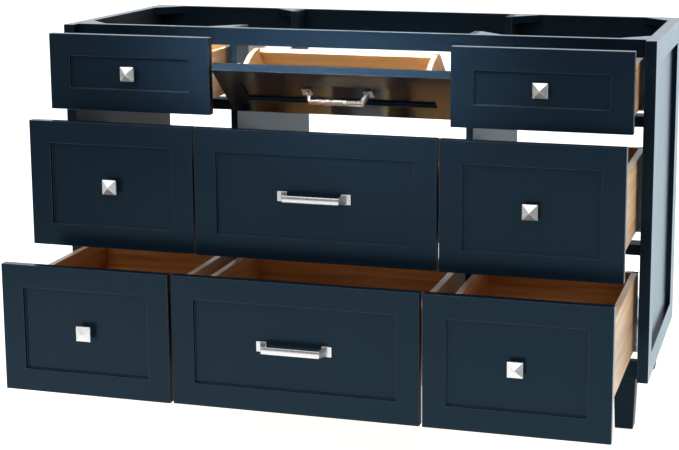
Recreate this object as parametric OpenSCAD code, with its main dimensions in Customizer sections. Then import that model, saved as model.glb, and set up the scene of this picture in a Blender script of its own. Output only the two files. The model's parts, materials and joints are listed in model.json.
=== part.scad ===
// Nine-front bathroom vanity cabinet: frame-and-panel sides, an open carcass on
// four tapered legs, eight drawers on concealed slides and a tilt-out tray.
// Millimetres, +X to the right, +Y to the back, +Z up, standing on z = 0.

/* [Cabinet] */
// Overall width
cab_w = 1397; // [1350:1:1450]
// Overall height without a countertop
cab_h = 889; // [889:1:910]
// Depth of the carcass, from the front edge to the back
cab_d = 546; // [520:1:600]
// Thickness of the side frames
side_t = 25; // [20:1:28]
// Width of the front stile and of both rails of a side frame
side_stile = 55; // [45:1:70]
// Width of the rear stile of a side frame
side_rear_stile = 75; // [45:1:90]
// How far the side's flat panel lies behind the frame's outer face
side_recess = 10; // [4:1:12]
// Clear height under the cabinet
leg_h = 124; // [100:1:124]

/* [Fronts] */
// Width of the three centre fronts
centre_front_w = 546; // [520:1:560]
// Gap between neighbouring columns of fronts
column_gap = 6; // [3:1:8]
// Gap between a front and the side frame
side_gap = 3.5; // [2:0.5:5]
// Height of the top fronts
top_front_h = 174; // [170:1:176]
// Height of the middle and of the lower fronts
deep_front_h = 284; // [275:1:284]
// Gap between rows of fronts
row_gap = 10; // [9:0.5:10]
// Thickness of a front
front_t = 20; // [18:1:22]
// Width of a front's flat border
border_w = 50; // [35:1:60]
// Depth of a front's flat centre panel below its border
border_step = 8; // [4:1:10]
// How far a closed front lies behind the side frame's front edge
setback = 3; // [1:0.5:4]

/* [Drawers] */
// Depth of the upper and middle drawer boxes, front to back
box_d = 406; // [380:1:420]
// Depth of the lowest drawer boxes, which reach in under the plumbing
low_box_d = 457; // [380:1:470]
// Thickness of a drawer box's sides, front and back
box_t = 15; // [12:1:15]
// Thickness of a drawer bottom
bottom_t = 6; // [4:1:8]
// Space between a drawer box and the wall beside it
slide_gap = 12.7; // [5:0.1:13.2]
// Width of the notch for the drain pipe in the middle centre drawer
drain_w = 124; // [80:1:200]
// Depth of that notch, from the back of the box
drain_d = 230; // [120:1:260]

/* [Open positions] */
// Top left drawer, from the front edge of the side frame
open_top_left = 128; // [0:1:387]
// Top right drawer
open_top_right = 145; // [0:1:387]
// Middle left drawer
open_mid_left = 236; // [0:1:387]
// Middle centre drawer
open_mid_centre = 240; // [0:1:387]
// Middle right drawer
open_mid_right = 244; // [0:1:387]
// Lower left drawer
open_low_left = 385; // [0:1:387]
// Lower centre drawer
open_low_centre = 382; // [0:1:387]
// Lower right drawer
open_low_right = 383; // [0:1:387]
// Tilt of the top centre tray, in degrees
open_tray = 50; // [0:1:50]

/* [Hardware] */
// Side of a square knob
knob_w = 33; // [28:1:40]
// How far a knob stands out of the front's centre panel
knob_out = 27; // [22:1:30]
// Distance between the two feet of a bar pull
pull_pitch = 144; // [96:1:192]
// How far a bar pull stands out of the front's centre panel
pull_out = 31; // [26:1:36]

/* [Hidden] */

// Colours
NAVY = "#1b2a3a";
WOOD = "#c98f54";
ZINC = "#a9adb0";
NICKEL = "#b9b5ad";

// The cabinet's front edge lies at y = cab_y, so that the whole object with its
// drawers as they stand is centred on the origin.
reach = max(open_low_centre + pull_out, open_low_right + knob_out, open_low_left + knob_out);
cab_y = (reach - border_step - cab_d) / 2;

// Where the hardware stands on a closed front: the surface of its centre panel
panel_y = setback + border_step;

// Joints between glued boards are left this wide, so that each board is one solid
seam = 0.2;

half_w = cab_w / 2;
inner_x = half_w - side_t;
board_t = 18;
rail_y = 27;
rail_back = rail_y + board_t;

// Heights of the rows
low_z = leg_h - 4;
mid_z = low_z + deep_front_h + row_gap;
top_z = mid_z + deep_front_h + row_gap;

// Rails: heights of their faces and the levels at which they lie
bottom_rail_h = 41;
top_rail_h = 40;
back_rail_h = 80;
row_rail_h = 24;
row_rail_d = 45;
upper_rail_z = top_z - 11;
lower_rail_z = mid_z - 5;
bottom_rail_z = leg_h;
top_rail_z = cab_h - top_rail_h;

// Columns: the partitions stand behind the gaps between the columns of fronts
partition_t = 16;
partition_shift = 6;
partition_x = centre_front_w / 2 + column_gap / 2 + partition_shift;
partition_in = partition_x - partition_t / 2;
partition_out = partition_x + partition_t / 2;
notch_z = cab_h - 95;
front_post = 63;
back_post = 72;
side_front_w = half_w - side_t - side_gap - centre_front_w / 2 - column_gap;
side_x = centre_front_w / 2 + column_gap + side_front_w / 2;
side_box_x = (partition_out + inner_x) / 2;
side_box_w = inner_x - partition_out - 2 * slide_gap;
centre_box_w = 2 * (partition_in - slide_gap);

// Drawer boxes: height, rise of the box above the lower edge of its front, and depth
top_box = [108, 26, box_d];
mid_box = [163, 48, box_d];
low_box = [170, 65, low_box_d];

// How far a drawer's bottom panel lies above the lower edges of its sides
floor_rise = 13;

// One drawer: [front centre x, front width, front z, front height, box centre x,
// box width, [box height, box rise, box depth], opened by]
function drawer(column, z, h, box, open) = [
  column * side_x, column == 0 ? centre_front_w : side_front_w, z, h,
  column * side_box_x, column == 0 ? centre_box_w : side_box_w, box, open
];
top_left = drawer(-1, top_z, top_front_h, top_box, open_top_left);
top_right = drawer(1, top_z, top_front_h, top_box, open_top_right);
mid_left = drawer(-1, mid_z, deep_front_h, mid_box, open_mid_left);
mid_centre = drawer(0, mid_z, deep_front_h, mid_box, open_mid_centre);
mid_right = drawer(1, mid_z, deep_front_h, mid_box, open_mid_right);
low_left = drawer(-1, low_z, deep_front_h, low_box, open_low_left);
low_centre = drawer(0, low_z, deep_front_h, low_box, open_low_centre);
low_right = drawer(1, low_z, deep_front_h, low_box, open_low_right);
DRAWERS = [top_left, top_right, mid_left, mid_centre, mid_right, low_left, low_centre, low_right];

function box_z(d) = d[2] + d[6][1];

// Legs
leg_top = 50;
leg_foot = 41;
leg_x = half_w - 55;
leg_y = rail_y + leg_top / 2;
leg_plate = 74;

// Concealed slides: three nested steel members, under each end of a drawer's bottom.
// Widths run inwards from the wall, heights start at the lower edge of the drawer box.
slide_short = 18;
slide_y = 40;
sheet = 1.5;
play = 0.8;
channel_w = 26;
channel_h = 7;
channel_in = slide_gap + box_t + 3;
slide_drop = 3;
flange_h = 45;
middle_w = channel_w - 2 * (sheet + play);
middle_top = 9;
hat_w = middle_w - 2 * (sheet + play);
hat_low = 2 * (sheet + play) - slide_drop;

// Corner blocks, each with a hole for a countertop screw
block = 62;
block_hole_r = 2.5;
block_hole_in = 20;

// Tray: the hinge axis lies in the gap under the middle of the front's lower edge
hinge_drop = 4.5;
tray_axis_y = setback + front_t / 2;
tray_axis_z = top_z - hinge_drop;
tray_half = 219;
tray_side_t = 12;
tray_floor_z = top_z + 14;
tray_reach = 95;
tray_swing = top_rail_z - tray_axis_z - 1.5;
tray_back_y = setback + front_t;

// Hinges under the tray's front
hinge_x = 200;
hinge_w = 40;
knuckle_r = 2.6;
knuckle_w = 13;
knuckle_gap = 0.3;
bracket_y = 5;
bracket_h = 13;
leaf_d = 15;
hinge_pin_r = 1.5;
leaf_t = 1.6;
pin_play = 0.05;

// Folding stays at the tray's ends, in the YZ plane: the pivot on the partition, the
// pivot on the closed tray, and the middle pivot where two equal bars meet
stay_p = [66, tray_axis_z + 41.5];
stay_q = [tray_back_y + 10, stay_p[1] + 24];
stay_len = 68;
stay_half = 5;
stay_t = 2;
rivet_r = 2;
plate_front = 7;
plate_back = 20;
plate_low = 16;
plate_high = 10;
stay_rear_x = partition_in - 5;
stay_front_x = stay_rear_x - 3;
ear_x = stay_front_x - 4;
ear_foot = 12;
plate_t = 2;
tray_axis = [tray_axis_y, tray_axis_z];
function turned(v, a) = [v[0] * cos(a) - v[1] * sin(a), v[0] * sin(a) + v[1] * cos(a)];
function middle_pivot(p, q) =
  let (run = q - p, rise = sqrt(pow(stay_len, 2) - pow(norm(run) / 2, 2)))
  (p + q) / 2 + [run[1], -run[0]] / norm(run) * rise;
stay_q_open = tray_axis + turned(stay_q - tray_axis, open_tray);
stay_j = middle_pivot(stay_p, stay_q_open);

// Bar pulls: height and thickness of the bar, size of the feet, the legs' sides beside the
// middle of a foot, and how far the legs lean inwards
pull_bar = 14;
pull_bar_t = 6;
pull_foot = 22;
pull_foot_t = 4;
pull_leg_in = 6;
pull_leg_out = 2;
pull_lean = 9;

// Knobs: side of the neck, its length and the height of the pyramid's edge
knob_neck = 14;
knob_neck_out = 10;
knob_flare = 4;
knob_edge = 4;

// Places its children in the standing cabinet
module cabinet() {
  translate([0, cab_y, 0]) children();
}

// A box from its lowest corner to its highest corner
module slab(low, high) {
  translate(low) cube(high - low);
}

// The children at the left and at the right of the cabinet
module both_sides() {
  children();
  mirror([1, 0, 0]) children();
}

// The children and their mirror image about the middle of a drawer
module drawer_sides(d) {
  translate([d[4], 0, 0]) both_sides() children();
}

// Moves its children from the closed position by a share of the drawer's travel
module opened(d, share = 1) {
  translate([0, -(d[7] + setback) * share, 0]) children();
}

// Moves its children from the closed position with the tilted tray
module tilted() {
  translate([0, tray_axis_y, tray_axis_z]) rotate([open_tray, 0, 0])
    translate([0, -tray_axis_y, -tray_axis_z]) children();
}

// Two stiles and two rails around one flat panel
module side_frame() {
  rail_low_y = side_stile + seam;
  rail_high_y = cab_d - side_rear_stile - seam;
  color(NAVY) cabinet() {
    slab([inner_x, 0, leg_h], [half_w, side_stile, cab_h]);
    slab([inner_x, cab_d - side_rear_stile, leg_h], [half_w, cab_d, cab_h]);
    slab([inner_x, rail_low_y, leg_h], [half_w, rail_high_y, leg_h + side_stile]);
    slab([inner_x, rail_low_y, cab_h - side_stile], [half_w, rail_high_y, cab_h]);
  }
}

module side_frame_left() {
  mirror([1, 0, 0]) side_frame();
}

module side_frame_right() {
  side_frame();
}

// The two flat panels, flush with the inner faces of their frames
module side_panels() {
  color(NAVY) cabinet() both_sides()
    slab([inner_x, side_stile, leg_h + side_stile],
         [half_w - side_recess, cab_d - side_rear_stile, cab_h - side_stile]);
}

// Upright between two columns, notched for the rails and cut away under the sink
module partition() {
  back_y = cab_d - board_t;
  low_rail_top = bottom_rail_z + bottom_rail_h;
  outline = [
    [rail_back, leg_h], [back_y, leg_h],
    [back_y, low_rail_top], [cab_d, low_rail_top],
    [cab_d, cab_h - back_rail_h], [back_y, cab_h - back_rail_h],
    [back_y, cab_h], [back_y - back_post, cab_h],
    [back_y - back_post, notch_z], [rail_back + front_post, notch_z],
    [rail_back + front_post, cab_h], [rail_back, cab_h],
    [rail_back, top_rail_z], [rail_y, top_rail_z],
    [rail_y, low_rail_top], [rail_back, low_rail_top]
  ];
  color(NAVY) cabinet() translate([partition_in, 0, 0])
    rotate([90, 0, 90]) linear_extrude(partition_t) polygon(outline);
}

module partition_left() {
  mirror([1, 0, 0]) partition();
}

module partition_right() {
  partition();
}

module top_front_rail() {
  color(NAVY) cabinet() slab([-inner_x, rail_y, top_rail_z], [inner_x, rail_back, cab_h]);
}

module top_back_rail() {
  color(NAVY) cabinet()
    slab([-inner_x, cab_d - board_t, cab_h - back_rail_h], [inner_x, cab_d, cab_h]);
}

// Three flat rails side by side, under one row of drawers
module row_rails(z) {
  color(NAVY) cabinet() {
    slab([-partition_in, rail_y, z], [partition_in, rail_y + row_rail_d, z + row_rail_h]);
    both_sides()
      slab([partition_out, rail_y, z], [inner_x, rail_y + row_rail_d, z + row_rail_h]);
  }
}

module upper_rails() {
  row_rails(upper_rail_z);
}

module lower_rails() {
  row_rails(lower_rail_z);
}

// Two equal rails, one under the fronts and one at the back
module bottom_rails() {
  color(NAVY) cabinet() for (y = [rail_y, cab_d - board_t])
    slab([-inner_x, y, bottom_rail_z], [inner_x, y + board_t, bottom_rail_z + bottom_rail_h]);
}

// A triangular block in a corner at the origin, towards +X and +Y
module corner_block(hole_r) {
  difference() {
    linear_extrude(board_t) polygon([[0, 0], [block, 0], [0, block]]);
    translate([block_hole_in, block_hole_in, -1]) cylinder(r = hole_r, h = board_t + 2, $fn = 32);
  }
}

// Eight blocks under the countertop, beside the sides and outside the partitions
module corner_blocks() {
  color(NAVY) cabinet() both_sides() for (x = [inner_x, partition_out]) {
    flip = x == inner_x ? 1 : 0;
    translate([x, rail_back, cab_h - board_t]) mirror([flip, 0, 0]) corner_block(block_hole_r);
    translate([x, cab_d - board_t, cab_h - board_t]) mirror([flip, 0, 0]) mirror([0, 1, 0])
      corner_block(block_hole_r);
  }
}

// A square leg that tapers evenly to its foot, centred on the origin
module leg() {
  side = [
    [-leg_foot / 2, 0], [leg_foot / 2, 0], [leg_top / 2, leg_h], [-leg_top / 2, leg_h]
  ];
  intersection() {
    rotate([90, 0, 0]) linear_extrude(leg_top, center = true) polygon(side);
    rotate([90, 0, 90]) linear_extrude(leg_top, center = true) polygon(side);
  }
}

// Four legs, each under a plate that ties it to the bottom rail and to the side
module legs() {
  color(NAVY) cabinet() both_sides() {
    for (y = [leg_y, cab_d - leg_y]) translate([leg_x, y, 0]) leg();
    for (y = [rail_back, cab_d - board_t - leg_plate])
      slab([inner_x - leg_plate, y, leg_h + seam],
           [inner_x, y + leg_plate, leg_h + seam + board_t]);
  }
}

// A steel profile along Y: the outline's x runs inwards from the wall, its y upwards from
// the lower edge of the drawer box
module profile(d, outline) {
  length = d[6][2] - slide_short;
  drawer_sides(d) translate([d[5] / 2 + slide_gap, slide_y + length, box_z(d)])
    rotate([90, 0, 0]) linear_extrude(length) mirror([1, 0]) polygon(outline);
}

// The members fixed to the sides and the partitions, two for each drawer: a flange on the
// wall, a web under the drawer's side and a channel under its bottom
module cabinet_slides() {
  web = sheet - slide_drop;
  near = channel_in;
  far = near + channel_w;
  outline = [
    [0, flange_h], [0, -slide_drop], [far, -slide_drop], [far, channel_h],
    [far - sheet, channel_h], [far - sheet, web], [near + sheet, web],
    [near + sheet, channel_h], [near, channel_h], [near, web], [sheet, web],
    [sheet, flange_h]
  ];
  color(ZINC) cabinet() for (d = DRAWERS) profile(d, outline);
}

// The two middle channels of a drawer's slides, which travel half as far
module slides(d) {
  near = channel_in + sheet + play;
  far = near + middle_w;
  low = sheet + play - slide_drop;
  outline = [
    [near, middle_top], [near, low], [far, low], [far, middle_top],
    [far - sheet, middle_top], [far - sheet, low + sheet],
    [near + sheet, low + sheet], [near + sheet, middle_top]
  ];
  color(ZINC) cabinet() opened(d, 0.5) profile(d, outline);
}

// The two inner members, hat profiles screwed under the drawer's bottom
module runners(d) {
  middle = channel_in + channel_w / 2;
  near = middle - hat_w / 2;
  far = middle + hat_w / 2;
  brim = floor_rise - sheet;
  outline = [
    [middle - channel_w / 2, floor_rise], [middle - channel_w / 2, brim], [near, brim],
    [near, hat_low], [near + sheet, hat_low], [near + sheet, brim], [far - sheet, brim],
    [far - sheet, hat_low], [far, hat_low], [far, brim], [middle + channel_w / 2, brim],
    [middle + channel_w / 2, floor_rise]
  ];
  color(ZINC) cabinet() opened(d) profile(d, outline);
}

// A front: a flat border around a lower flat panel, with its lower edge at the origin
module front_panel(w, h) {
  difference() {
    slab([-w / 2, 0, 0], [w / 2, front_t, h]);
    slab([border_w - w / 2, -1, border_w], [w / 2 - border_w, border_step, h - border_w]);
  }
}

module drawer_front(d) {
  color(NAVY) cabinet() opened(d) translate([d[0], setback, d[2]]) front_panel(d[1], d[3]);
}

// Four boards and a bottom panel, with glued joints: the back stands above the slides
module drawer_box(d) {
  y0 = setback + front_t;
  y1 = y0 + d[6][2];
  z0 = box_z(d);
  z1 = z0 + d[6][0];
  half = d[5] / 2;
  in_x = half - box_t - seam;
  floor_z = z0 + floor_rise;
  color(WOOD) cabinet() opened(d) {
    drawer_sides(d) slab([half - box_t, y0, z0], [half, y1, z1]);
    translate([d[4], 0, 0]) {
      slab([-in_x, y0, z0], [in_x, y0 + box_t, z1]);
      slab([-in_x, y1 - box_t, floor_z], [in_x, y1, z1]);
      slab([-in_x, y0 + box_t + seam, floor_z], [in_x, y1 - box_t - seam, floor_z + bottom_t]);
    }
  }
}

// The same box with a notch in its back for the drain pipe
module notched_box(d) {
  y0 = setback + front_t;
  y1 = y0 + d[6][2];
  z0 = box_z(d);
  z1 = z0 + d[6][0];
  half = d[5] / 2;
  in_x = half - box_t - seam;
  floor_z = z0 + floor_rise;
  notch_x = drain_w / 2;
  wall_x = notch_x + box_t;
  notch_y = y1 - drain_d;
  floor_y = notch_y - box_t - seam;
  color(WOOD) cabinet() opened(d) {
    both_sides() {
      slab([half - box_t, y0, z0], [half, y1, z1]);
      slab([wall_x + seam, y1 - box_t, floor_z], [in_x, y1, z1]);
      slab([notch_x, notch_y, z0], [wall_x, y1, z1]);
      slab([wall_x + seam, floor_y + seam, floor_z], [in_x, y1 - box_t - seam, floor_z + bottom_t]);
    }
    slab([-in_x, y0, z0], [in_x, y0 + box_t, z1]);
    slab([-wall_x, notch_y - box_t, z0], [wall_x, notch_y - seam, z1]);
    slab([-in_x, y0 + box_t + seam, floor_z], [in_x, floor_y, floor_z + bottom_t]);
  }
}

// A low pyramid on a square plate and a short square neck, pointing to -Y
module knob() {
  neck = knob_neck / 2;
  half = knob_w / 2;
  back_y = -knob_neck_out - knob_flare;
  edge_y = back_y - knob_edge;
  profile = [
    [-neck, 0], [neck, 0], [neck, -knob_neck_out], [half, back_y], [half, edge_y],
    [0, -knob_out], [-half, edge_y], [-half, back_y], [-neck, -knob_neck_out]
  ];
  intersection() {
    linear_extrude(knob_w, center = true) polygon(profile);
    rotate([0, 90, 0]) linear_extrude(knob_w, center = true) polygon(profile);
  }
}

module drawer_knob(d) {
  color(NICKEL) cabinet() opened(d) translate([d[0], panel_y, d[2] + d[3] / 2]) knob();
}

// A flat bar on two legs that widen and lean outwards to square feet, pointing to -Y
module bar_pull() {
  half = pull_pitch / 2;
  bar_end = half - pull_lean;
  bar_back = pull_bar_t - pull_out;
  plan = [
    [half - pull_leg_in, -pull_foot_t], [half + pull_leg_out, -pull_foot_t],
    [bar_end, -pull_out], [bar_end - pull_bar_t, -pull_out]
  ];
  side = [
    [-pull_foot_t, -pull_foot / 2], [-pull_foot_t, pull_foot / 2], [bar_back, pull_bar / 2],
    [-pull_out, pull_bar / 2], [-pull_out, -pull_bar / 2], [bar_back, -pull_bar / 2]
  ];
  slab([-bar_end, -pull_out, -pull_bar / 2], [bar_end, bar_back, pull_bar / 2]);
  both_sides() {
    intersection() {
      linear_extrude(pull_foot, center = true) polygon(plan);
      rotate([90, 0, 90]) linear_extrude(pull_pitch) polygon(side);
    }
    slab([half - pull_foot / 2, -pull_foot_t, -pull_foot / 2],
         [half + pull_foot / 2, 0, pull_foot / 2]);
  }
}

module drawer_pull(d) {
  color(NICKEL) cabinet() opened(d) translate([0, panel_y, d[2] + d[3] / 2]) bar_pull();
}

module tray_front() {
  color(NAVY) cabinet() tilted() translate([0, setback, top_z])
    front_panel(centre_front_w, top_front_h);
}

// A floor, a back and two ends, fixed behind the tray's front: the ends are rounded about
// the hinge axis, so that they pass under the top rail
module tray_box() {
  in_x = tray_half - tray_side_t - seam;
  far_y = tray_back_y + tray_reach;
  wall_y = far_y - tray_side_t;
  corner_z = tray_axis_z + sqrt(pow(tray_swing, 2) - pow(far_y - tray_axis_y, 2));
  color(WOOD) cabinet() tilted() {
    both_sides() intersection() {
      slab([tray_half - tray_side_t, tray_back_y, tray_floor_z],
           [tray_half, far_y, tray_axis_z + tray_swing]);
      translate([tray_half - tray_side_t, tray_axis_y, tray_axis_z]) rotate([0, 90, 0])
        cylinder(r = tray_swing, h = tray_side_t, $fn = 120);
    }
    slab([-in_x, tray_back_y, tray_floor_z], [in_x, wall_y - seam, tray_floor_z + tray_side_t]);
    slab([-in_x, wall_y, tray_floor_z], [in_x, far_y, corner_z]);
  }
}

module tray_pull() {
  color(NICKEL) cabinet() tilted() translate([0, panel_y, top_z + top_front_h / 2]) bar_pull();
}

// One hinge under each end of the tray's front: two fixed knuckles with their pin and a
// bracket on the rail behind, and on each partition a plate with the rear stay's rivet
module tray_hinge_plates() {
  color(ZINC) cabinet() both_sides() {
    translate([hinge_x, tray_axis_y, tray_axis_z]) rotate([0, 90, 0])
      cylinder(r = hinge_pin_r, h = hinge_w, $fn = 32);
    for (x = [hinge_x, hinge_x + hinge_w - knuckle_w]) difference() {
      union() {
        translate([x, tray_axis_y, tray_axis_z]) rotate([0, 90, 0])
          cylinder(r = knuckle_r, h = knuckle_w, $fn = 32);
        slab([x, tray_axis_y, tray_axis_z - leaf_t / 2],
             [x + knuckle_w, rail_y - leaf_t, tray_axis_z + leaf_t / 2]);
      }
      translate([x - 1, tray_axis_y, tray_axis_z]) rotate([0, 90, 0])
        cylinder(r = hinge_pin_r, h = knuckle_w + 2, $fn = 32);
    }
    slab([hinge_x, tray_axis_y + bracket_y, tray_axis_z - leaf_t / 2],
         [hinge_x + hinge_w, rail_y, tray_axis_z + leaf_t / 2]);
    slab([hinge_x, rail_y - leaf_t, tray_axis_z - leaf_t / 2],
         [hinge_x + hinge_w, rail_y, tray_axis_z + bracket_h]);
    slab([partition_in - plate_t, stay_p[0] - plate_front, stay_p[1] - plate_low],
         [partition_in, stay_p[0] + plate_back, stay_p[1] + plate_high]);
    translate([stay_rear_x - 0.5, stay_p[0], stay_p[1]]) rotate([0, 90, 0])
      cylinder(r = rivet_r, h = partition_in - stay_rear_x, $fn = 32);
  }
}

// The moving half of each hinge, under the front's lower edge, and behind the front
// an ear for the front stay
module tray_hinge_leaves() {
  middle_x = hinge_x + knuckle_w + knuckle_gap;
  middle_w = hinge_w - 2 * (knuckle_w + knuckle_gap);
  ear_low = stay_q[1] - 14;
  ear_high = stay_q[1] + 6;
  color(ZINC) cabinet() tilted() both_sides() {
    difference() {
      union() {
        translate([middle_x, tray_axis_y, tray_axis_z]) rotate([0, 90, 0])
          cylinder(r = knuckle_r, h = middle_w, $fn = 32);
        slab([middle_x, tray_axis_y - 1, tray_axis_z],
             [middle_x + middle_w, tray_axis_y + 1, top_z]);
        slab([hinge_x, tray_axis_y - leaf_d / 2, top_z - leaf_t],
             [hinge_x + hinge_w, tray_axis_y + leaf_d / 2, top_z]);
      }
      translate([middle_x - 1, tray_axis_y, tray_axis_z]) rotate([0, 90, 0])
        cylinder(r = hinge_pin_r + pin_play, h = middle_w + 2, $fn = 32);
    }
    slab([ear_x, tray_back_y, ear_low], [ear_x + stay_t, stay_q[0] + stay_half, ear_high]);
    slab([ear_x - ear_foot, tray_back_y, ear_low], [ear_x, tray_back_y + stay_t, ear_high]);
  }
}

// A flat steel bar between two points of the YZ plane, with a hole at its first end
module stay_bar(from, to, x) {
  run = to - from;
  translate([x, from[0], from[1]]) rotate([atan2(run[1], run[0]), 0, 0]) difference() {
    union() {
      slab([0, 0, -stay_half], [stay_t, norm(run), stay_half]);
      for (y = [0, norm(run)]) translate([0, y, 0]) rotate([0, 90, 0])
        cylinder(r = stay_half, h = stay_t, $fn = 32);
    }
    translate([-1, 0, 0]) rotate([0, 90, 0])
      cylinder(r = rivet_r + pin_play, h = stay_t + 2, $fn = 32);
  }
}

// From the partition to the middle pivot, with that pivot's rivet
module tray_stay_rear() {
  color(ZINC) cabinet() both_sides() {
    stay_bar(stay_p, stay_j, stay_rear_x);
    translate([stay_front_x - 0.5, stay_j[0], stay_j[1]]) rotate([0, 90, 0])
      cylinder(r = rivet_r, h = stay_rear_x - stay_front_x + 0.5, $fn = 32);
  }
}

// From the middle pivot to the ear behind the tray's front
module tray_stay_front() {
  color(ZINC) cabinet() both_sides() stay_bar(stay_j, stay_q_open, stay_front_x);
}

side_frame_left();
side_frame_right();
side_panels();
partition_left();
partition_right();
top_front_rail();
top_back_rail();
upper_rails();
lower_rails();
bottom_rails();
corner_blocks();
legs();
cabinet_slides();
tray_hinge_plates();
tray_front();
tray_box();
tray_pull();
tray_hinge_leaves();
tray_stay_rear();
tray_stay_front();
drawer_front(top_left);  // top_left_front
drawer_box(top_left);  // top_left_box
drawer_knob(top_left);  // top_left_knob
runners(top_left);  // top_left_runners
slides(top_left);  // top_left_slides
drawer_front(top_right);  // top_right_front
drawer_box(top_right);  // top_right_box
drawer_knob(top_right);  // top_right_knob
runners(top_right);  // top_right_runners
slides(top_right);  // top_right_slides
drawer_front(mid_left);  // mid_left_front
drawer_box(mid_left);  // mid_left_box
drawer_knob(mid_left);  // mid_left_knob
runners(mid_left);  // mid_left_runners
slides(mid_left);  // mid_left_slides
drawer_front(mid_centre);  // mid_centre_front
notched_box(mid_centre);  // mid_centre_box
drawer_pull(mid_centre);  // mid_centre_pull
runners(mid_centre);  // mid_centre_runners
slides(mid_centre);  // mid_centre_slides
drawer_front(mid_right);  // mid_right_front
drawer_box(mid_right);  // mid_right_box
drawer_knob(mid_right);  // mid_right_knob
runners(mid_right);  // mid_right_runners
slides(mid_right);  // mid_right_slides
drawer_front(low_left);  // low_left_front
drawer_box(low_left);  // low_left_box
drawer_knob(low_left);  // low_left_knob
runners(low_left);  // low_left_runners
slides(low_left);  // low_left_slides
drawer_front(low_centre);  // low_centre_front
drawer_box(low_centre);  // low_centre_box
drawer_pull(low_centre);  // low_centre_pull
runners(low_centre);  // low_centre_runners
slides(low_centre);  // low_centre_slides
drawer_front(low_right);  // low_right_front
drawer_box(low_right);  // low_right_box
drawer_knob(low_right);  // low_right_knob
runners(low_right);  // low_right_runners
slides(low_right);  // low_right_slides
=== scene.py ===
import json
import math
import random

import bmesh
import bpy
from mathutils import Matrix, Vector

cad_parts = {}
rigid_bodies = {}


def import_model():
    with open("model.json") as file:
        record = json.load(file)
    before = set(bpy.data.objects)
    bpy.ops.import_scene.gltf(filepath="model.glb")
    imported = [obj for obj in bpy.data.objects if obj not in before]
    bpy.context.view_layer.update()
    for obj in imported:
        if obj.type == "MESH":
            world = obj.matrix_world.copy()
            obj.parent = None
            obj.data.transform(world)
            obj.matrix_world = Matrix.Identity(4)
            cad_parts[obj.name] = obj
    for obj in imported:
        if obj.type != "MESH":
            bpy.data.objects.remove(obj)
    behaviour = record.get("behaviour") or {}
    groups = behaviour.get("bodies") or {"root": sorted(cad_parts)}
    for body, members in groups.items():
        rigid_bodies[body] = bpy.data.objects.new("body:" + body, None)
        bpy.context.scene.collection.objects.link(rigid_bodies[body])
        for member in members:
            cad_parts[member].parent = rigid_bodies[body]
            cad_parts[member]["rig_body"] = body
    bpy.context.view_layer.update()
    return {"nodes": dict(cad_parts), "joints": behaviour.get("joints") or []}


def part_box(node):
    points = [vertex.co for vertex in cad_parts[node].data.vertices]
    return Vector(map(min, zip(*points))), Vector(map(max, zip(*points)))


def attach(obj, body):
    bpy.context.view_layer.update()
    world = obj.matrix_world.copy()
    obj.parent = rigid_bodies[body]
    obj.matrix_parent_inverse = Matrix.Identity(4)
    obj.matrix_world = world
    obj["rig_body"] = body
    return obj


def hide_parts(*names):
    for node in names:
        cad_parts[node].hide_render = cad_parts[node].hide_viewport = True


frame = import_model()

NODES = frame["nodes"]
MM = 0.001

# Columns and rows of drawers; the middle column's top place holds the tray
SIDE_DRAWERS = ["top_left", "top_right", "mid_left", "mid_right", "low_left", "low_right"]
CENTRE_DRAWERS = ["mid_centre", "low_centre"]
DRAWERS = SIDE_DRAWERS + CENTRE_DRAWERS

# Widths of the rounded edges
FRONT_EDGE = 1.0 * MM
BOARD_EDGE = 0.8 * MM
PANEL_EDGE = 0.3 * MM
BLOCK_EDGE = 0.6 * MM
LEG_EDGE = 1.6 * MM
KNOB_EDGE = 0.5 * MM
PULL_EDGE = 1.1 * MM
PULL_FOOT_EDGE = 0.8 * MM
WALL_PROFILE_EDGE = 0.35 * MM
SLIDE_EDGE = 0.3 * MM
STAY_EDGE = 0.25 * MM
HINGE_EDGE = 0.2 * MM

# Sheet steel of the slides
SHEET = 1.5 * MM

# The front edge of the side frames, which the camera's place is measured from
FRONT_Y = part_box("side_frame_right")[0].y


# ---------------------------------------------------------------- materials


def new_material(name):
    """A node material and its main shader."""
    material = bpy.data.materials.new(name)
    material.use_nodes = True
    return material, material.node_tree, material.node_tree.nodes["Principled BSDF"]


def link(tree, source, target):
    tree.links.new(source, target)


def object_place(tree):
    """Coordinates that stay with the piece, in metres."""
    return tree.nodes.new("ShaderNodeTexCoord").outputs["Object"]


def stretched(tree, place, stretch):
    """Coordinates scaled along each axis."""
    mapping = tree.nodes.new("ShaderNodeMapping")
    mapping.inputs["Scale"].default_value = stretch
    link(tree, place, mapping.inputs["Vector"])
    return mapping.outputs["Vector"]


def noise(tree, place, scale, detail=3.0, distortion=0.0):
    """A soft random pattern between nought and one."""
    made = tree.nodes.new("ShaderNodeTexNoise")
    made.inputs["Scale"].default_value = scale
    made.inputs["Detail"].default_value = detail
    made.inputs["Distortion"].default_value = distortion
    link(tree, place, made.inputs["Vector"])
    return made.outputs["Fac"]


def math_node(tree, operation, first, second=0.0):
    """One calculation with two numbers or sockets."""
    made = tree.nodes.new("ShaderNodeMath")
    made.operation = operation
    for socket, value in zip(made.inputs, (first, second)):
        if isinstance(value, (int, float)):
            socket.default_value = value
        else:
            link(tree, value, socket)
    return made.outputs["Value"]


def spread(tree, value, low, high, new_low, new_high):
    """Moves a value from one range to another, held within it."""
    made = tree.nodes.new("ShaderNodeMapRange")
    made.inputs["From Min"].default_value = low
    made.inputs["From Max"].default_value = high
    made.inputs["To Min"].default_value = new_low
    made.inputs["To Max"].default_value = new_high
    link(tree, value, made.inputs["Value"])
    return made.outputs["Result"]


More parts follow.
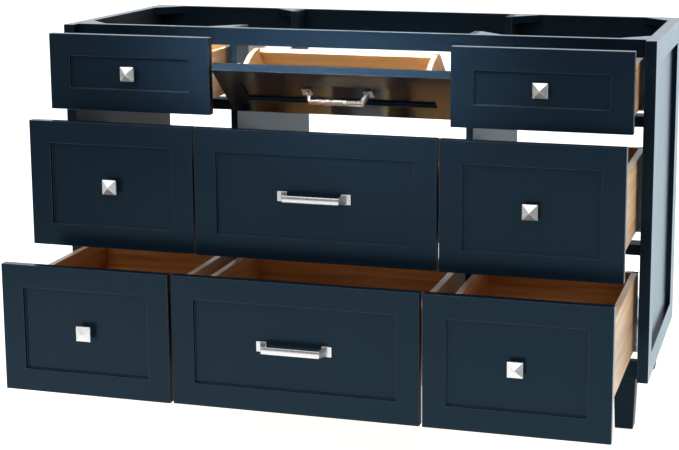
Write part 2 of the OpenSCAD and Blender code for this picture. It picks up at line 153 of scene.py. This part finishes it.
def blended(tree, share, first, second):
    """A colour between two colours."""
    made = tree.nodes.new("ShaderNodeMix")
    made.data_type = "RGBA"
    link(tree, share, made.inputs["Factor"])
    for socket, value in ((made.inputs["A"], first), (made.inputs["B"], second)):
        if isinstance(value, tuple):
            socket.default_value = (*value, 1)
        else:
            link(tree, value, socket)
    return made.outputs["Result"]


def brightened(tree, colour, factor):
    """A colour times a value."""
    made = tree.nodes.new("ShaderNodeVectorMath")
    made.operation = "SCALE"
    link(tree, colour, made.inputs["Vector"])
    link(tree, factor, made.inputs["Scale"])
    return made.outputs["Vector"]


def bumped(tree, shader, height, distance, strength):
    """Gives the surface a relief."""
    made = tree.nodes.new("ShaderNodeBump")
    made.inputs["Strength"].default_value = strength
    made.inputs["Distance"].default_value = distance
    link(tree, height, made.inputs["Height"])
    link(tree, made.outputs["Normal"], shader.inputs["Normal"])


def outer_edges(tree):
    """One on the rounded edges, nought on the faces between them."""
    attribute = tree.nodes.new("ShaderNodeAttribute")
    attribute.attribute_name = "edge"
    return attribute.outputs["Fac"]


def lacquer(name, colour, rough, face_gloss):
    """Sprayed paint: an even colour, a faint texture and lighter edges, partly rubbed paint and
    partly a painted highlight. The face gloss sets how much a face reflects when it is seen straight
    on."""
    material, tree, shader = new_material(name)
    place = object_place(tree)
    cloud = noise(tree, place, 5.0, 4.0)
    # Lighter edges in spots: partly rubbed paint, partly a painted highlight along the rounded edges.
    rubbed_highlit_edges = math_node(tree, "MULTIPLY", outer_edges(tree), noise(tree, place, 60.0, 4.0))
    lighter = tuple(c * 1.05 for c in colour)
    darker = tuple(c * 0.96 for c in colour)
    rubbed_and_highlit = tuple(c * 2.0 + 0.03 for c in colour)
    even = blended(tree, spread(tree, cloud, 0.3, 0.7, 0.0, 1.0), darker, lighter)
    link(tree, blended(tree, rubbed_highlit_edges, even, rubbed_and_highlit), shader.inputs["Base Color"])
    fine = noise(tree, place, 420.0, 2.0)
    link(tree, spread(tree, cloud, 0.3, 0.7, rough - 0.01, rough + 0.01), shader.inputs["Roughness"])
    tint = tuple(face_gloss * c for c in (0.42, 0.8, 1.0))
    shader.inputs["Specular Tint"].default_value = (*tint, 1)
    bumped(tree, shader, fine, 0.00002, 0.4)
    return material


def wood(name, light, dark, strips, rough=0.42):
    """Clear-coated hardwood: rings and fibres along the board, in glued strips of a
    given width."""
    material, tree, shader = new_material(name)
    attribute = tree.nodes.new("ShaderNodeAttribute")
    attribute.attribute_name = "grain"
    parts = tree.nodes.new("ShaderNodeSeparateXYZ")
    link(tree, attribute.outputs["Vector"], parts.inputs["Vector"])
    row = math_node(tree, "FLOOR", math_node(tree, "DIVIDE", parts.outputs["Y"], strips))
    lot = tree.nodes.new("ShaderNodeTexWhiteNoise")
    lot.noise_dimensions = "1D"
    link(tree, row, lot.inputs["W"])
    moved = tree.nodes.new("ShaderNodeVectorMath")
    moved.operation = "ADD"
    link(tree, attribute.outputs["Vector"], moved.inputs[0])
    link(tree, lot.outputs["Color"], moved.inputs[1])
    place = moved.outputs["Vector"]
    broad = noise(tree, stretched(tree, place, (0.9, 8.0, 8.0)), 1.0, 3.0, 0.6)
    figure = noise(tree, stretched(tree, place, (2.4, 42.0, 42.0)), 1.0, 5.0, 0.9)
    streaks = noise(tree, stretched(tree, place, (5.0, 170.0, 170.0)), 1.0, 2.0)
    fibres = noise(tree, stretched(tree, place, (14.0, 700.0, 700.0)), 1.0, 3.0)
    share = math_node(tree, "ADD", math_node(tree, "MULTIPLY", broad, 0.35),
                      math_node(tree, "MULTIPLY", figure, 0.4))
    share = math_node(tree, "ADD", share, math_node(tree, "MULTIPLY", streaks, 0.25))
    tone = blended(tree, spread(tree, share, 0.41, 0.61, 0.0, 1.0), light, dark)
    strip_tone = spread(tree, lot.outputs["Value"], 0.0, 1.0, 0.86, 1.1)
    fibre_tone = spread(tree, fibres, 0.3, 0.7, 0.93, 1.04)
    tone = brightened(tree, tone, math_node(tree, "MULTIPLY", strip_tone, fibre_tone))
    link(tree, tone, shader.inputs["Base Color"])
    link(tree, spread(tree, fibres, 0.3, 0.7, rough - 0.06, rough + 0.1), shader.inputs["Roughness"])
    shader.inputs["Specular IOR Level"].default_value = 0.35
    shader.inputs["Coat Weight"].default_value = 0.4
    shader.inputs["Coat Roughness"].default_value = 0.3
    bumped(tree, shader, fibres, 0.00012, 0.5)
    return material


def end_grain(name, light, dark):
    """Sawn ends: short dark pores across the board."""
    material, tree, shader = new_material(name)
    place = object_place(tree)
    pores = noise(tree, place, 900.0, 3.0)
    cloud = noise(tree, place, 60.0, 3.0)
    share = math_node(tree, "ADD", math_node(tree, "MULTIPLY", pores, 0.6),
                      math_node(tree, "MULTIPLY", cloud, 0.4))
    tone = blended(tree, spread(tree, share, 0.35, 0.65, 0.0, 1.0), light, dark)
    link(tree, tone, shader.inputs["Base Color"])
    link(tree, spread(tree, pores, 0.3, 0.7, 0.5, 0.7), shader.inputs["Roughness"])
    bumped(tree, shader, pores, 0.0001, 0.6)
    return material


def brushed_metal(name, colour, rough, brush):
    """Metal with fine lines, finest where brush is largest, and brighter edges as a painted
    highlight.
    """
    material, tree, shader = new_material(name)
    place = object_place(tree)
    lines = noise(tree, stretched(tree, place, brush), 1.0, 3.0)
    cloud = noise(tree, place, 45.0, 3.0)
    darker = tuple(c * 0.9 for c in colour)
    tone = blended(tree, spread(tree, lines, 0.3, 0.7, 0.0, 1.0), darker, colour)
    # Painted highlight: a lighter colour on the rounded edges.
    edge_highlight = tuple(min(1.0, c * 1.2) for c in colour)
    link(tree, blended(tree, outer_edges(tree), tone, edge_highlight), shader.inputs["Base Color"])
    shader.inputs["Metallic"].default_value = 0.8
    shader.inputs["Anisotropic"].default_value = 0.35
    link(tree, spread(tree, cloud, 0.3, 0.7, rough - 0.04, rough + 0.06), shader.inputs["Roughness"])
    bumped(tree, shader, lines, 0.00001, 0.15)
    return material


def rubber(name, colour):
    """Mottled nylon or rubber."""
    material, tree, shader = new_material(name)
    cloud = noise(tree, object_place(tree), 300.0, 3.0)
    lighter = tuple(c * 1.3 for c in colour)
    link(tree, blended(tree, cloud, colour, lighter), shader.inputs["Base Color"])
    shader.inputs["Roughness"].default_value = 0.6
    bumped(tree, shader, cloud, 0.00005, 0.5)
    return material


NAVY = (0.0042, 0.0093, 0.0168)
FRONT_PAINT = lacquer("front_lacquer", NAVY, 0.22, 0.44)
# Navy at a quarter of its brightness: painted shade for steps, gaps and inner faces that lie in
# shadow.
SHADE_LACQUER = lacquer("painted_shade_lacquer", tuple(c * 0.25 for c in NAVY), 0.6, 0.05)
FRONT_PAINTS = [FRONT_PAINT, SHADE_LACQUER]
CARCASS_PAINT = lacquer("carcass_lacquer", tuple(c * 0.9 for c in NAVY), 0.2, 0.3)
INNER_PAINT = lacquer("inner_lacquer", NAVY, 0.45, 0.2)
WOOD_LIGHT = (0.74, 0.42, 0.165)
WOOD_DARK = (0.43, 0.165, 0.035)
BOARD_WOOD = wood("maple", WOOD_LIGHT, WOOD_DARK, 0.062)
# A paler copy of the maple: painted light for the boxes' outer sides, which lie in the light.
LIT_SIDE_WOOD = wood("maple_side_painted_lit", (0.74, 0.48, 0.25), (0.48, 0.26, 0.11), 0.062)
PLY_WOOD = wood("plywood_face", (0.66, 0.37, 0.14), (0.50, 0.23, 0.07), 0.4)
EDGE_WOOD = wood("maple_edge", (0.78, 0.56, 0.34), (0.68, 0.43, 0.22), 0.2)
END_WOOD = end_grain("maple_end", (0.62, 0.40, 0.22), (0.46, 0.26, 0.12))
WOODS = [BOARD_WOOD, EDGE_WOOD, END_WOOD, PLY_WOOD, LIT_SIDE_WOOD]
# A lighter, more orange copy of the maple: painted light for the brightly lit tray.
TRAY_LIT_WOOD = wood("tray_maple_painted_lit", (0.95, 0.62, 0.29), (0.8, 0.4, 0.13), 0.3)
TRAY_EDGE = wood("tray_edge", (0.34, 0.26, 0.20), (0.28, 0.20, 0.14), 0.3)
TRAY_WOODS = [TRAY_LIT_WOOD, TRAY_EDGE, END_WOOD, TRAY_LIT_WOOD]
NICKEL = brushed_metal("satin_nickel", (0.68, 0.68, 0.67), 0.25, (60.0, 60.0, 1500.0))
ZINC = brushed_metal("zinc_plate", (0.58, 0.60, 0.62), 0.33, (900.0, 30.0, 900.0))
SCREW_STEEL = brushed_metal("screw_steel", (0.5, 0.5, 0.5), 0.3, (700.0, 700.0, 700.0))
NYLON = rubber("nylon", (0.32, 0.32, 0.31))


# ---------------------------------------------------------------- meshes


def cad_mesh(name, turn=None):
    """A clean copy of a CAD node's mesh, turned to its closed place if asked."""
    bm = bmesh.new()
    bm.from_mesh(NODES[name].data)
    bmesh.ops.remove_doubles(bm, verts=bm.verts, dist=1e-6)
    bmesh.ops.dissolve_limit(bm, angle_limit=0.01, verts=bm.verts, edges=bm.edges)
    if turn:
        bm.transform(turn)
    return bm


def boards(bm):
    """The vertices of each separate board in a mesh, in the order of its vertices."""
    found = []
    left = set(bm.verts)
    for start in bm.verts:
        if start not in left:
            continue
        left.discard(start)
        group = [start]
        queue = [start]
        while queue:
            for edge in queue.pop().link_edges:
                for vert in edge.verts:
                    if vert in left:
                        left.discard(vert)
                        group.append(vert)
                        queue.append(vert)
        found.append(group)
    return found


def corners(verts):
    """The lowest and highest corners of some vertices."""
    low = Vector([min(v.co[i] for v in verts) for i in range(3)])
    high = Vector([max(v.co[i] for v in verts) for i in range(3)])
    return low, high


def add_board(bm, low, high):
    """A box from its lowest to its highest corner."""
    made = bmesh.ops.create_cube(bm, size=1.0)["verts"]
    low, high = Vector(low), Vector(high)
    for vert in made:
        vert.co = Vector([(low[i] + high[i]) / 2 + vert.co[i] * (high[i] - low[i]) for i in range(3)])
    return made


def soften(bm, width, segments=2, least=25):
    """Rounds every edge sharper than a given angle."""
    sharp = [e for e in bm.edges if e.is_manifold and e.calc_face_angle(0) > math.radians(least)]
    layer = bm.faces.layers.float.get("edge") or bm.faces.layers.float.new("edge")
    made = bmesh.ops.bevel(
        bm, geom=sharp, offset=width, offset_type="OFFSET", segments=segments, profile=0.5,
        affect="EDGES", clamp_overlap=True)
    for face in made["faces"]:
        face[layer] = 1.0


def set_grain(bm, name):
    """Stores each board's own coordinates, its grain along its longest side, and gives
    its faces, edges and ends their own wood, and thin sheets another."""
    layer = bm.verts.layers.float_vector.get("grain") or bm.verts.layers.float_vector.new("grain")
    chance = random.Random(name)
    for verts in boards(bm):
        low, high = corners(verts)
        size = high - low
        order = sorted(range(3), key=lambda i: -size[i])
        shift = Vector((chance.uniform(0, 9), chance.uniform(0, 9), chance.uniform(0, 9)))
        faces = set()
        for vert in verts:
            place = vert.co - low
            vert[layer] = Vector((place[order[0]], place[order[1]], place[order[2]])) + shift
            faces.update(vert.link_faces)
        thin = size[order[2]] < 8 * MM
        for face in faces:
            turned = [abs(face.normal[i]) for i in range(3)]
            axis = turned.index(max(turned))
            if axis == order[2]:
                face.material_index = 3 if thin else 0
            elif axis == order[0] and size[order[0]] > 3 * size[order[1]]:
                face.material_index = 2
            else:
                face.material_index = 1


def lathe(bm, outline, place, axis, segments=24):
    """A turned shape: outline holds (distance along the axis, radius) pairs."""
    turn = Vector((0, 0, 1)).rotation_difference(Vector(axis)).to_matrix()
    rings = []
    for along, radius in outline:
        ring = []
        for step in range(segments):
            angle = 2 * math.pi * step / segments
            spot = Vector((radius * math.cos(angle), radius * math.sin(angle), along))
            ring.append(bm.verts.new(Vector(place) + turn @ spot))
        rings.append(ring)
    for lower, upper in zip(rings, rings[1:]):
        for step in range(segments):
            after = (step + 1) % segments
            bm.faces.new((lower[step], lower[after], upper[after], upper[step]))
    bm.faces.new(list(reversed(rings[0])))
    bm.faces.new(rings[-1])


def joined(bm, other):
    """Adds another mesh's faces to a mesh."""
    mesh = bpy.data.meshes.new("joined")
    other.to_mesh(mesh)
    bm.from_mesh(mesh)
    other.free()
    bpy.data.meshes.remove(mesh)


def screw_head(bm, place, axis, radius):
    """A low round head with a round recess."""
    height = radius * 0.42
    recess = radius * 0.42
    sunk = -0.2 * MM
    outline = [(sunk, radius * 0.95), (0, radius), (height * 0.45, radius * 0.96),
               (height * 0.8, radius * 0.8), (height, radius * 0.55), (height, recess),
               (height * 0.3, recess * 0.9)]
    lathe(bm, outline, place, axis, 18)


def add_piece(name, bm, body, materials, turn=None, replaced=()):
    """Makes a mesh a piece of the cabinet."""
    if turn:
        bm.transform(turn.inverted())
    bmesh.ops.recalc_face_normals(bm, faces=bm.faces)
    for face in bm.faces:
        face.smooth = True
    mesh = bpy.data.meshes.new(name)
    bm.to_mesh(mesh)
    bm.free()
    obj = bpy.data.objects.new(name, mesh)
    bpy.context.scene.collection.objects.link(obj)
    for material in materials:
        mesh.materials.append(material)
    normals = obj.modifiers.new("normals", "WEIGHTED_NORMAL")
    normals.keep_sharp = True
    if replaced:
        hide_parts(*replaced)
    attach(obj, body)
    return obj


def body_of(node):
    """The moving body that a node belongs to."""
    return NODES[node]["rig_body"]


def refined(node, width, materials, segments=2, turn=None, least=25):
    """A node's own shape with rounded edges."""
    bm = cad_mesh(node, turn)
    soften(bm, width, segments, least)
    return add_piece(node + "_shape", bm, body_of(node), materials, turn, [node])


# ---------------------------------------------------------------- the carcass


def side(node, width):
    """Glossy paint on the outside of the cabinet, and inside a dark paint as painted shade."""
    bm = cad_mesh(node)
    for face in bm.faces:
        # Inner faces get the dark paint as painted shade.
        if face.normal.x * face.calc_center_median().x < -0.1:
            face.material_index = 1
    soften(bm, width)
    paints = [CARCASS_PAINT, SHADE_LACQUER]
    add_piece(node + "_shape", bm, "root", paints, replaced=[node])


def carcass():
    side("side_frame_left", BOARD_EDGE)
    side("side_frame_right", BOARD_EDGE)
    side("side_panels", PANEL_EDGE)
    for node in ("top_front_rail", "top_back_rail"):
        refined(node, BOARD_EDGE, [CARCASS_PAINT])
    for node in ("upper_rails", "lower_rails", "bottom_rails", "partition_left", "partition_right"):
        refined(node, BOARD_EDGE, [INNER_PAINT])


def corner_blocks():
    refined("corner_blocks", BLOCK_EDGE, [CARCASS_PAINT], least=40)


def legs():
    """Tapered legs that stand on round glides, under screwed plates."""
    bm = cad_mesh("legs")
    glide = 3 * MM
    screw_in = 14 * MM
    feet = []
    screws = bmesh.new()
    for verts in boards(bm):
        low, high = corners(verts)
        if low.z < glide:
            foot = [v for v in verts if v.co.z < glide]
            feet.append(corners(foot))
            for vert in foot:
                vert.co.z = glide
        else:
            for x in (low.x + screw_in, high.x - screw_in):
                for y in (low.y + screw_in, high.y - screw_in):
                    screw_head(screws, (x, y, high.z), (0, 0, 1), 4 * MM)
    soften(bm, LEG_EDGE, 3, 20)
    add_piece("legs_shape", bm, "root", [INNER_PAINT], replaced=["legs"])
    pads = bmesh.new()
    for low, high in feet:
        middle = (low + high) / 2
        outline = [(0, 10 * MM), (0.6 * MM, 12 * MM), (glide, 13 * MM), (glide + MM, 13 * MM)]
        lathe(pads, outline, (middle.x, middle.y, 0), (0, 0, 1), 32)
    add_piece("leg_glides", pads, "root", [NYLON])
    add_piece("leg_plate_screws", screws, "root", [SCREW_STEEL])


def cabinet_slides():
    """Steel profiles with rounded bends, screwed to the walls."""
    bm = cad_mesh("cabinet_slides")
    places = [corners(verts) for verts in boards(bm)]
    soften(bm, WALL_PROFILE_EDGE)
    add_piece("cabinet_slides_shape", bm, "root", [ZINC], replaced=["cabinet_slides"])
    screws = bmesh.new()
    screw_drop = 16 * MM
    partition_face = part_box("partition_right")[1].x
    for low, high in places:
        outward = 1 if low.x + high.x > 0 else -1
        near, far = (low.x, high.x) if outward > 0 else (high.x, low.x)
        by_partition = abs(abs(near) - partition_face) < 2 * MM
        wall, facing = (near, outward) if by_partition else (far, -outward)
        for share in (0.07, 0.3, 0.62, 0.93):
            y = low.y + (high.y - low.y) * share
            place = (wall + facing * SHEET, y, high.z - screw_drop)
            screw_head(screws, place, (facing, 0, 0), 3.2 * MM)
    add_piece("slide_screws", screws, "root", [SCREW_STEEL])


# ---------------------------------------------------------------- fronts and boxes


def framed_front(node, turn=None):
    """A flat border around a lower panel, with every edge rounded and darker paint as painted shade
    on the step to the panel and towards the next front."""
    bm = cad_mesh(node, turn)
    low, high = corners(bm.verts)
    by_neighbour = not node.endswith("right_front")
    border = 20 * MM
    for face in bm.faces:
        middle = face.calc_center_median()
        inside = min(middle.x - low.x, high.x - middle.x, middle.z - low.z, high.z - middle.z)
        # Painted shade: dark paint on the steps to the panel and on the sides that face the next
        # front.
        if abs(face.normal.x) > 0.5 and (inside > border or by_neighbour):
            face.material_index = 1
    soften(bm, FRONT_EDGE, 3)
    add_piece(node + "_shape", bm, body_of(node), FRONT_PAINTS, turn, [node])


def add_pins(bm, low, high, board, floor):
    """The ends of the cross boards' pins, seen in the sides' outer faces. They stand out
    a hair, so that they don't share a plane with the side."""
    pins = []
    narrow = 3 * MM
    wide = 5.5 * MM
    spacing = 36 * MM
    face_proud = 0.12 * MM
    end_proud = 0.05 * MM
    for end, inwards in ((low.y, 1), (high.y, -1)):
        bottom = low.z if inwards > 0 else floor
        count = max(2, int((high.z - bottom) / spacing))
        pitch = (high.z - bottom) / count
        rim = end - inwards * end_proud
        depth = end + inwards * board
        for step in range(count + 1):
            middle = bottom + step * pitch
            shape = [(rim, max(low.z, middle - narrow)), (rim, min(high.z, middle + narrow)),
                     (depth, min(high.z, middle + wide)), (depth, max(low.z, middle - wide))]
            for outer, away in ((low.x, 1), (high.x, -1)):
                near = [bm.verts.new((outer - away * face_proud, y, z)) for y, z in shape]
                far = [bm.verts.new((outer + away * board, y, z)) for y, z in shape]
                pins.append(bm.faces.new(near))
                pins.append(bm.faces.new(list(reversed(far))))
                for i in range(4):
                    j = (i + 1) % 4
                    pins.append(bm.faces.new((near[i], far[i], far[j], near[j])))
    return pins


def drawer_box(name):
    """Solid boards joined with dovetails around a plywood bottom."""
    node = name + "_box"
    board = 15 * MM
    bottom = 13 * MM
    bm = cad_mesh(node)
    low, high = corners(bm.verts)
    soften(bm, BOARD_EDGE, 3)
    set_grain(bm, node)
    # The outer faces of the sides take the paler maple, as painted light.
    for face in bm.faces:
        middle = face.calc_center_median()
        outside = min(middle.x - low.x, high.x - middle.x) < MM
        if face.material_index == 0 and abs(face.normal.x) > 0.5 and outside:
            face.material_index = 4
    layer = bm.verts.layers.float_vector.get("grain")
    for face in add_pins(bm, low, high, board, low.z + bottom):
        face.material_index = 2
        for vert in face.verts:
            vert[layer] = vert.co
    add_piece(node + "_shape", bm, body_of(node), WOODS, replaced=[node])


def box_screws(name):
    """The screws that hold a front, driven from inside the box."""
    low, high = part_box(name + "_box")
    board = 15 * MM
    from_side = 50 * MM
    bm = bmesh.new()
    for x in (low.x + from_side, high.x - from_side):
        for z in (low.z + 34 * MM, high.z - 24 * MM):
            screw_head(bm, (x, low.y + board, z), (0, 1, 0), 4 * MM)
    add_piece(name + "_screws", bm, name, [SCREW_STEEL])


def knob(name):
    refined(name + "_knob", KNOB_EDGE, [NICKEL], 3, least=12)


def strip(bm, rings):
    """A closed solid through rings of four corners each."""
    made = [[bm.verts.new(corner) for corner in ring] for ring in rings]
    for one, other in zip(made, made[1:]):
        for i in range(4):
            j = (i + 1) % 4
            bm.faces.new((one[i], one[j], other[j], other[i]))
    bm.faces.new(list(reversed(made[0])))
    bm.faces.new(made[-1])


def pull(node, turn=None):
    """A flat bar whose ends lean outwards and widen to square feet."""
    plain = cad_mesh(node, turn)
    low, high = corners(plain.verts)
    plain.free()
    middle = (low + high) / 2
    foot = (high.z - low.z) / 2
    foot_middle = (high.x - low.x) / 2 - foot
    foot_t = 4 * MM
    bar_t = 6 * MM
    bar_half = 7 * MM
    lean = 9 * MM
    flare = foot - 1.2 * MM - bar_half
    out = high.y - low.y
    outer = [(foot_middle + 2 * MM, foot_t), (foot_middle - lean, out)]
    inner = [(foot_middle - 6 * MM, foot_t), (foot_middle - lean - bar_t, out - bar_t)]
    rings = []
    for end in (-1, 1):
        leg = []
        for step in range(9):
            share = step / 8
            tall = bar_half + flare * (1 - share) ** 2.2
            ring = []
            for line, height in ((outer, tall), (outer, -tall), (inner, -tall), (inner, tall)):
                x = line[0][0] + (line[1][0] - line[0][0]) * share
                y = line[0][1] + (line[1][1] - line[0][1]) * share
                ring.append((middle.x + end * x, high.y - y, middle.z + height))
            leg.append(ring)
        rings += leg if end < 0 else list(reversed(leg))
    bm = bmesh.new()
    strip(bm, rings)
    soften(bm, PULL_EDGE, 3, 30)
    feet = bmesh.new()
    for end in (-1, 1):
        x = middle.x + end * foot_middle
        add_board(feet, (x - foot, high.y - foot_t, low.z), (x + foot, high.y, high.z))
    soften(feet, PULL_FOOT_EDGE, 3)
    joined(bm, feet)
    add_piece(node + "_shape", bm, body_of(node), [NICKEL], turn, [node])


def slide_members(name):
    refined(name + "_runners", SLIDE_EDGE, [ZINC])
    refined(name + "_slides", SLIDE_EDGE, [ZINC])


# ---------------------------------------------------------------- the tray


def closed_turn():
    """Turns the tilted tray back to its closed place."""
    joint = next(j for j in frame["joints"] if j["name"] == "tray_tilt")
    place = Matrix.Translation(Vector(joint["pos_m"]))
    angle = math.radians(joint["range_deg"][0])
    return place @ Matrix.Rotation(angle, 4, "X") @ place.inverted()


def tray():
    """The tray is shaped in its closed place and turned back to its tilt."""
    turn = closed_turn()
    framed_front("tray_front", turn)
    pull("tray_pull", turn)
    bm = cad_mesh("tray_box", turn)
    soften(bm, BOARD_EDGE, 3, 30)
    set_grain(bm, "tray_box")
    add_piece("tray_box_shape", bm, "tray", TRAY_WOODS, turn, ["tray_box"])
    refined("tray_hinge_leaves", HINGE_EDGE, [ZINC], turn=turn, least=30)
    refined("tray_hinge_plates", HINGE_EDGE, [ZINC], least=30)
    refined("tray_stay_rear", STAY_EDGE, [ZINC], least=30)
    refined("tray_stay_front", STAY_EDGE, [ZINC], least=30)


# ---------------------------------------------------------------- the studio


def add_floor():
    """A plain white floor."""
    mesh = bpy.data.meshes.new("floor")
    reach = 40
    mesh.from_pydata(
        [(-reach, -reach, 0), (reach, -reach, 0), (reach, reach, 0), (-reach, reach, 0)],
        [], [(0, 1, 2, 3)])
    floor = bpy.data.objects.new("floor", mesh)
    bpy.context.scene.collection.objects.link(floor)
    material, tree, shader = new_material("floor_paint")
    cloud = noise(tree, object_place(tree), 2.0, 2.0)
    link(tree, blended(tree, cloud, (0.93, 0.93, 0.93), (0.95, 0.95, 0.95)),
         shader.inputs["Base Color"])
    shader.inputs["Roughness"].default_value = 0.9
    shader.inputs["Specular IOR Level"].default_value = 0.0
    shader.inputs["Emission Color"].default_value = (1, 1, 1, 1)
    shader.inputs["Emission Strength"].default_value = 0.8
    mesh.materials.append(material)


def add_card(name, size, place, towards, near, far):
    """A large card that only shows as a reflection, from one colour at its lower local
    edge to another at its upper one. A colour below nought takes light away."""
    mesh = bpy.data.meshes.new(name)
    w, h = size[0] / 2, size[1] / 2
    mesh.from_pydata([(-w, -h, 0), (w, -h, 0), (w, h, 0), (-w, h, 0)], [], [(0, 1, 2, 3)])
    card = bpy.data.objects.new(name, mesh)
    card.location = place
    card.rotation_mode = "QUATERNION"
    card.rotation_quaternion = (Vector(towards) - Vector(place)).to_track_quat("Z", "Y")
    material = bpy.data.materials.new(name)
    material.use_nodes = True
    tree = material.node_tree
    tree.nodes.clear()
    light = tree.nodes.new("ShaderNodeEmission")
    parts = tree.nodes.new("ShaderNodeSeparateXYZ")
    link(tree, object_place(tree), parts.inputs["Vector"])
    share = spread(tree, parts.outputs["Y"], -h, h, 0.0, 1.0)
    link(tree, blended(tree, share, near, far), light.inputs["Color"])
    out = tree.nodes.new("ShaderNodeOutputMaterial")
    link(tree, light.outputs[0], out.inputs["Surface"])
    mesh.materials.append(material)
    bpy.context.scene.collection.objects.link(card)
    card.visible_camera = False
    card.visible_diffuse = False
    card.visible_shadow = False
    card.visible_transmission = False


def add_light(name, place, towards, size, power, shiny=True, spread_angle=180):
    """A soft rectangular lamp. Only a shiny one shows in reflections."""
    data = bpy.data.lights.new(name, "AREA")
    data.shape = "RECTANGLE"
    data.size, data.size_y = size
    data.energy = power
    data.spread = math.radians(spread_angle)
    lamp = bpy.data.objects.new(name, data)
    lamp.location = place
    lamp.rotation_mode = "QUATERNION"
    lamp.rotation_quaternion = (Vector(towards) - Vector(place)).to_track_quat("-Z", "Y")
    lamp.visible_camera = False
    lamp.visible_glossy = shiny
    bpy.context.scene.collection.objects.link(lamp)


def add_studio():
    """White surroundings, three lamps, and cards that give the paint its reflections."""
    world = bpy.data.worlds.new("studio")
    bpy.context.scene.world = world
    world.use_nodes = True
    background = world.node_tree.nodes["Background"]
    background.inputs["Color"].default_value = (1, 1, 1, 1)
    background.inputs["Strength"].default_value = 0.66
    add_light("overhead", (-0.5, -2.2, 2.9), (0, -0.2, 0.6), (3.0, 2.3), 38)
    add_light("tray_light", (-0.4, -1.7, 2.2), (0, 0, 0.75), (0.6, 0.2), 5.6, False, 16)
    add_light("right_light", (2.6, -1.2, 2.2), (0.3, 0, 0.6), (1.5, 1.5), 11, False)
    add_card("left_floor_card", (4.5, 6.3), (-3.75, -3.85, 0.01), (-3.75, -3.85, 3),
             (0.38, 0.38, 0.38), (0.2, 0.2, 0.2))
    add_card("right_floor_card", (5, 6.3), (3.4, -3.85, 0.01), (3.4, -3.85, 3),
             (0.3, 0.3, 0.3), (0.1, 0.1, 0.1))
    add_card("front_floor_card", (2.4, 6.3), (-0.3, -3.85, 0.01), (-0.3, -3.85, 3),
             (1.55, 1.55, 1.6), (-2.4, -2.4, -2.4))
    add_card("side_floor_card", (6, 9), (3.7, 4.9, 0.01), (3.7, 4.9, 3),
             (1.05, 1.28, 1.42), (1.0, 1.2, 1.32))
    add_card("back_card", (18, 5), (0, 9, 3.0), (0, 0, 1.0), (1.0, 1.1, 1.2), (1.0, 1.1, 1.2))
    add_card("front_card", (12, 4), (0, -7.0, 1.6), (0, 0, 1.0),
             (0.03, 0.03, 0.04), (0.02, 0.02, 0.03))
    add_card("right_card", (5, 3), (3.2, -3.2, 0.9), (0, 0, 0.6),
             (0.12, 0.12, 0.12), (0.06, 0.06, 0.06))
    add_card("left_card", (4, 2.2), (-3.6, -1.2, 0.9), (0, 0, 0.6),
             (0.3, 0.3, 0.3), (0.25, 0.25, 0.25))


def add_camera():
    """A long lens, turned to the right side and slightly down, with a shifted frame."""
    azimuth = math.radians(15.06)
    elevation = math.radians(9.98)
    camera = bpy.data.cameras.new("camera")
    camera.lens = 82.95
    camera.sensor_width = 36
    camera.shift_x = -0.104
    camera.shift_y = -0.125
    camera.clip_end = 100
    obj = bpy.data.objects.new("camera", camera)
    obj.location = Vector((1.0541, FRONT_Y - 3.3558, 1.2610))
    obj.rotation_euler = (math.pi / 2 - elevation, 0, azimuth)
    bpy.context.scene.collection.objects.link(obj)
    bpy.context.scene.camera = obj


# ---------------------------------------------------------------- everything

carcass()
corner_blocks()
legs()
cabinet_slides()
for drawer in DRAWERS:
    framed_front(drawer + "_front")
    drawer_box(drawer)
    box_screws(drawer)
    slide_members(drawer)
for drawer in SIDE_DRAWERS:
    knob(drawer)
for drawer in CENTRE_DRAWERS:
    pull(drawer + "_pull")
tray()
add_floor()
add_studio()
add_camera()
bpy.context.scene.view_settings.view_transform = "Standard"
